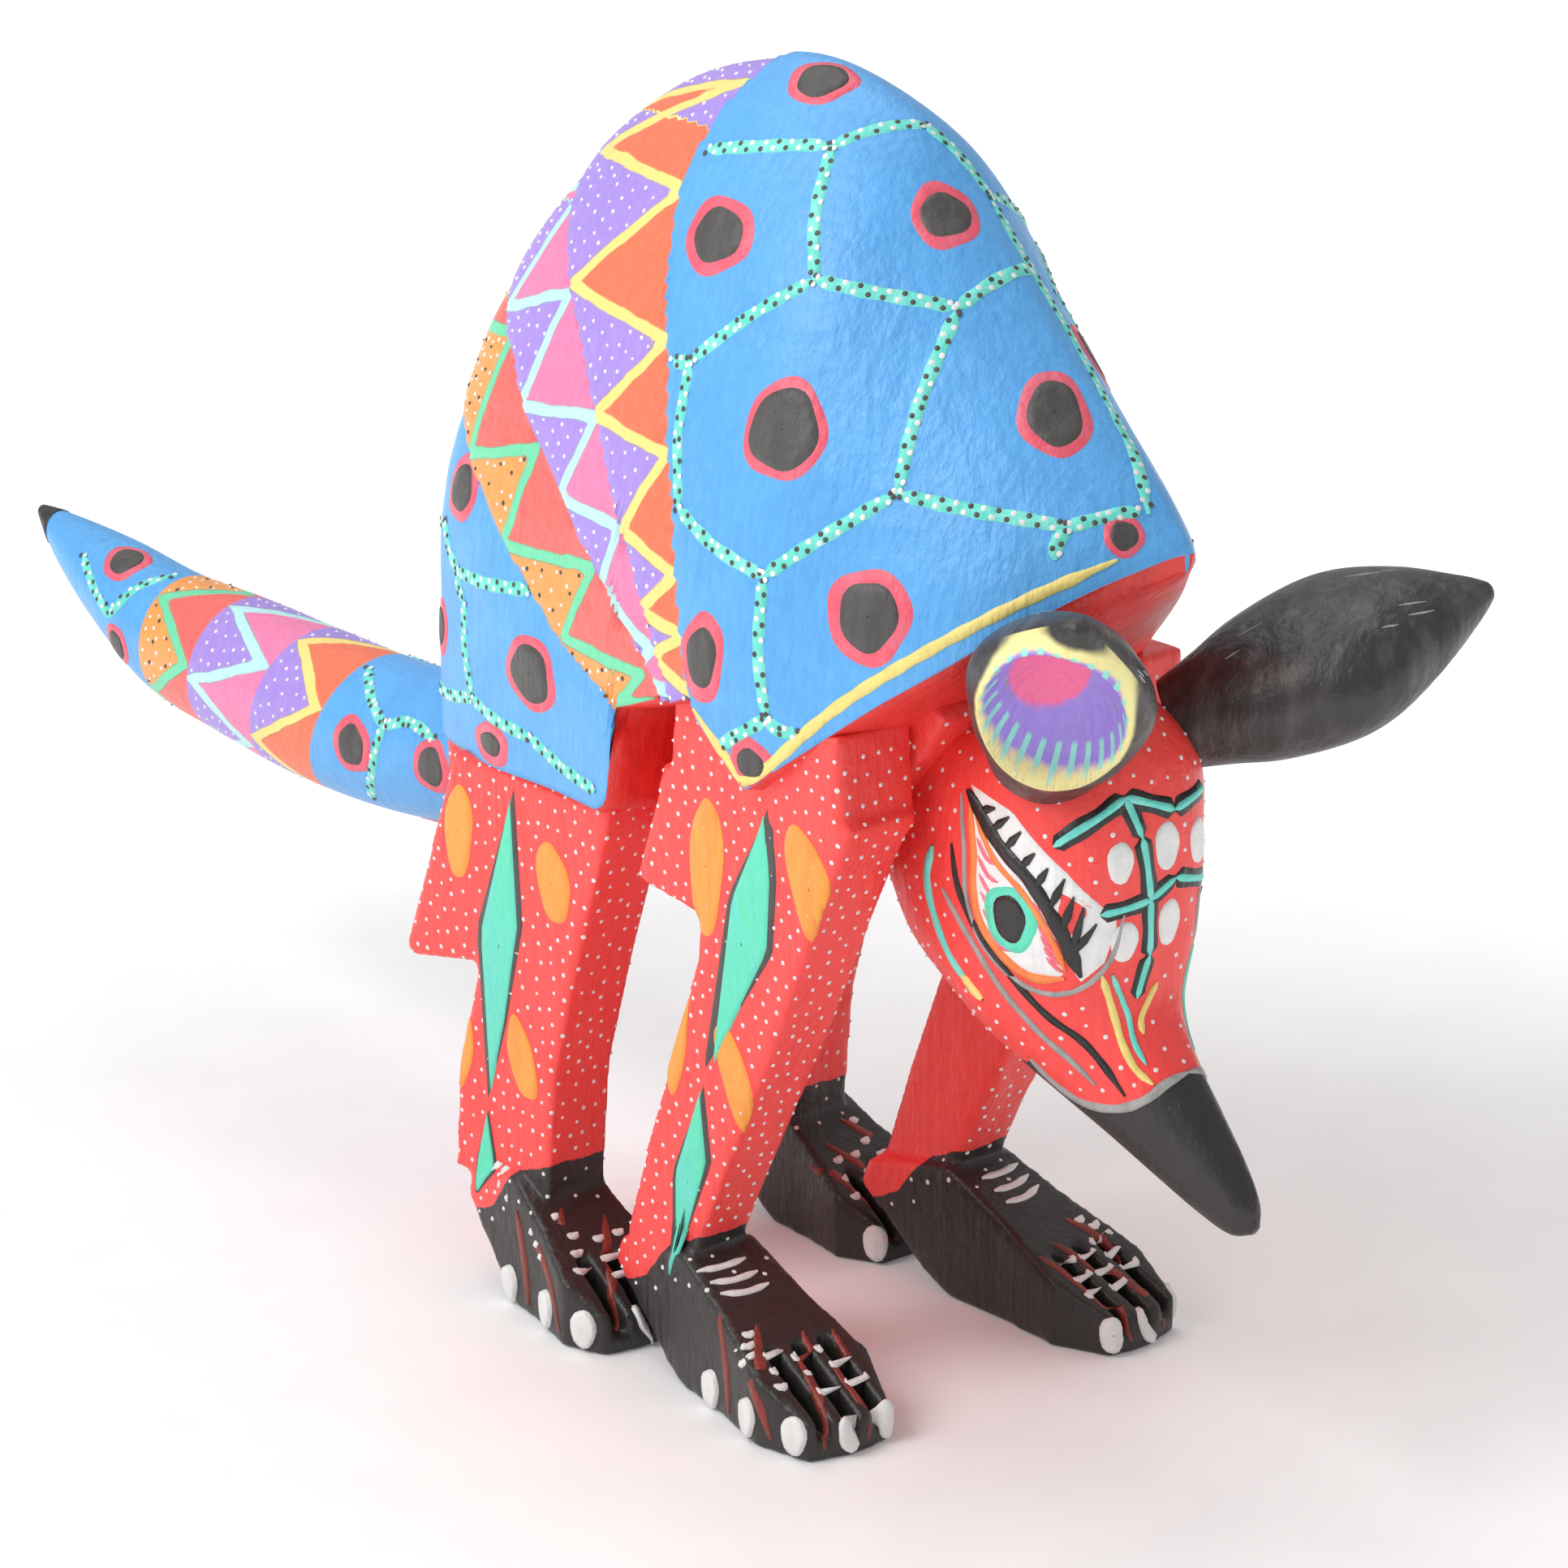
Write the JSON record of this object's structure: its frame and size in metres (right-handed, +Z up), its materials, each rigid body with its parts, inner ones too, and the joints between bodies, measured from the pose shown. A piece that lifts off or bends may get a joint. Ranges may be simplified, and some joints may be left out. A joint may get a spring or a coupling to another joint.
{
  "type": "alebrije figure",
  "caption": "Hand-painted carved wooden armadillo with a humped banded shell, toed feet, and plug-in ears and tail that turn and pull off.",
  "frame": {"origin": "on the ground under the middle of the figure's overall length and width", "axes": "+Z up, the animal faces -Y, its left side is +X"},
  "size_m": [0.0872, 0.3035, 0.2008],
  "materials": {
    "shell_paint": "satin acrylic paint",
    "red_paint": "satin acrylic paint",
    "black_paint": "satin acrylic paint",
    "bare_wood": "matte"
  },
  "bodies": {
    "figure": {"body": "shell_paint", "head": "red_paint", "front_right_leg": "red_paint", "front_left_leg": "red_paint", "rear_right_leg": "red_paint", "rear_left_leg": "red_paint", "neck_dowel": "bare_wood", "front_right_leg_dowel": "bare_wood", "front_left_leg_dowel": "bare_wood", "rear_right_leg_dowel": "bare_wood", "rear_left_leg_dowel": "bare_wood"},
    "right_ear_turn": {"right_ear_peg": "bare_wood"},
    "right_ear": {"right_ear": "black_paint"},
    "left_ear_turn": {"left_ear_peg": "bare_wood"},
    "left_ear": {"left_ear": "black_paint"},
    "tail_turn": {"tail_peg": "bare_wood"},
    "tail": {"tail": "shell_paint"}
  },
  "joints": [
    {"name": "right_ear_twist", "type": "hinge", "parent": "figure", "child": "right_ear_turn", "pos_m": [-0.0166, -0.119, 0.11], "axis": [-0.4602, -0.6202, 0.6352], "range_deg": [-25, 25]},
    {"name": "right_ear_pull", "type": "slide", "parent": "right_ear_turn", "child": "right_ear", "axis": [-0.4602, -0.6202, 0.6352], "range_m": [0, 0.012]},
    {"name": "left_ear_twist", "type": "hinge", "parent": "figure", "child": "left_ear_turn", "pos_m": [0.0094, -0.119, 0.11], "axis": [0.6612, -0.6211, 0.4208], "range_deg": [-25, 25]},
    {"name": "left_ear_pull", "type": "slide", "parent": "left_ear_turn", "child": "left_ear", "axis": [0.6612, -0.6211, 0.4208], "range_m": [0, 0.012]},
    {"name": "tail_twist", "type": "hinge", "parent": "figure", "child": "tail_turn", "pos_m": [-0.0036, 0.018, 0.074], "axis": [0, 1, 0], "range_deg": [-25, 25]},
    {"name": "tail_pull", "type": "slide", "parent": "tail_turn", "child": "tail", "axis": [0, 1, 0], "range_m": [0, 0.022]}
  ]
}
